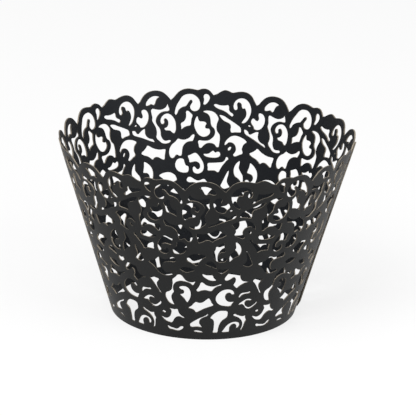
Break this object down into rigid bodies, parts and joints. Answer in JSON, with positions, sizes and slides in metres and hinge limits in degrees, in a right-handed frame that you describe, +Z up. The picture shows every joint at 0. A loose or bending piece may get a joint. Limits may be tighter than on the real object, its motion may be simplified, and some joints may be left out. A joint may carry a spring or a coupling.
{
  "type": "cupcake wrapper",
  "caption": "Open cone of thin card, cut through with scrollwork and scalloped at the top, its two ends lapped. It slips round a cupcake in its baking case.",
  "frame": {"origin": "on the surface it stands on, in the middle of the outline seen from above, about 0.4 mm from the cone's axis", "axes": "+Z up along the cone, from the narrow bottom rim to the scalloped top rim; the lap of the two ends lies on +X"},
  "size_m": [0.081, 0.0804, 0.0493],
  "materials": {
    "card": "satin black card, laser-cut edges"
  },
  "bodies": {
    "root": {"wrapper_card": "card"}
  },
  "joints": []
}
